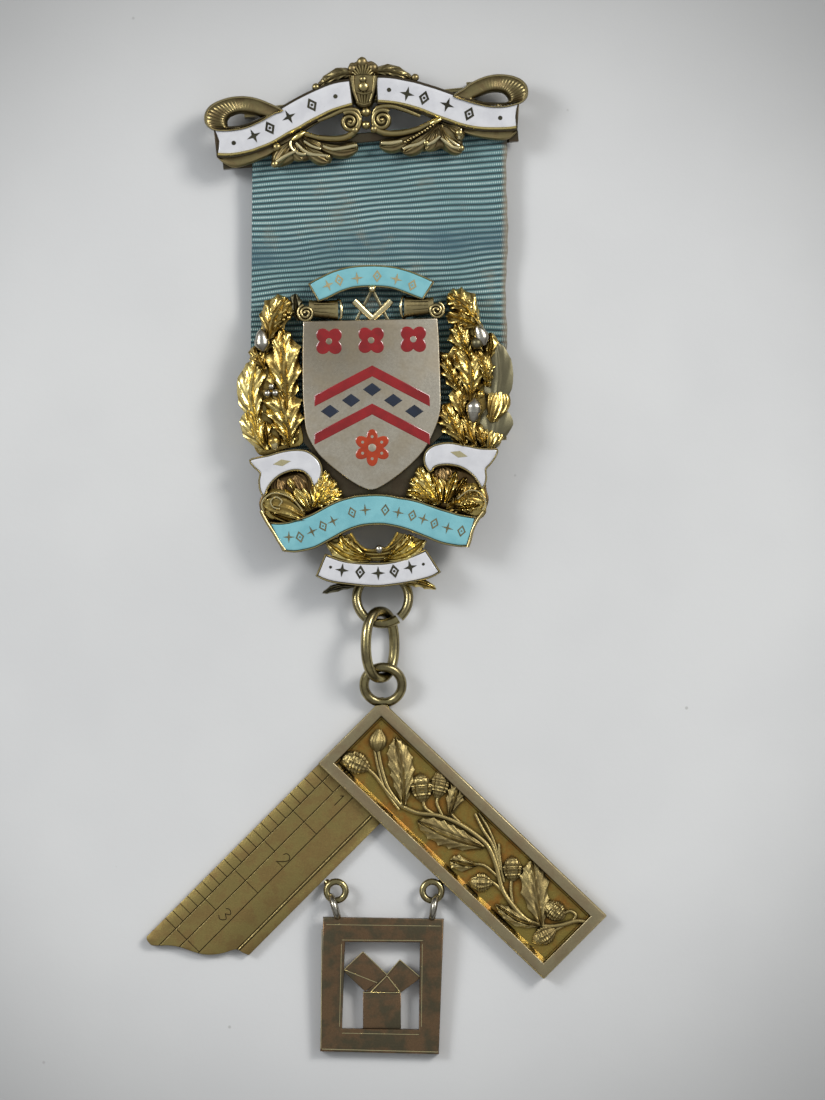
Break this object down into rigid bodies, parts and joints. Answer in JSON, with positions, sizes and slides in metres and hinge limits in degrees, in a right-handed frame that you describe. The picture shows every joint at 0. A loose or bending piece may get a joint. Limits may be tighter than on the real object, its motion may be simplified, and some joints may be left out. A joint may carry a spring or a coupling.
{
  "type": "masonic breast jewel",
  "caption": "Breast jewel lying flat: an enamelled scroll bar on a ribbed ribbon, a wreathed shield, linked rings, a square with one framed arm and a pierced plaque.",
  "frame": {"origin": "on the surface that the jewel lies on, under the middle of its box", "axes": "+Y up the jewel towards the bar, +Z towards the viewer, +X to the viewer's right"},
  "size_m": [0.0574, 0.1247, 0.0057],
  "materials": {
    "gilt": "gilt silver, worn bright on the crests",
    "dark_gilt": "tarnished gilt silver, satin",
    "silver": "satin silver with warm tarnish",
    "white_enamel": "glossy vitreous enamel",
    "turquoise_enamel": "glossy vitreous enamel",
    "red_enamel": "glossy vitreous enamel",
    "dark_enamel": "glossy vitreous enamel",
    "ribbon": "ribbed silk, matt with a slight sheen"
  },
  "bodies": {
    "root": {"top_bar": "gilt", "bar_enamel_left": "white_enamel", "bar_enamel_right": "white_enamel", "brooch_pin": "dark_gilt", "ribbon": "ribbon", "emblem": "gilt", "number_scroll": "turquoise_enamel", "motto_scroll": "turquoise_enamel", "curl_enamel_left": "white_enamel", "curl_enamel_right": "white_enamel", "lower_scroll": "white_enamel", "shield": "silver", "quatrefoil_left": "red_enamel", "quatrefoil_middle": "red_enamel", "quatrefoil_right": "red_enamel", "chevron_upper": "red_enamel", "chevron_lower": "red_enamel", "lozenge_chain": "dark_enamel", "rosette": "red_enamel", "emblem_ring": "dark_gilt", "oval_link": "dark_gilt", "square": "dark_gilt", "plaque": "dark_gilt"}
  },
  "joints": []
}
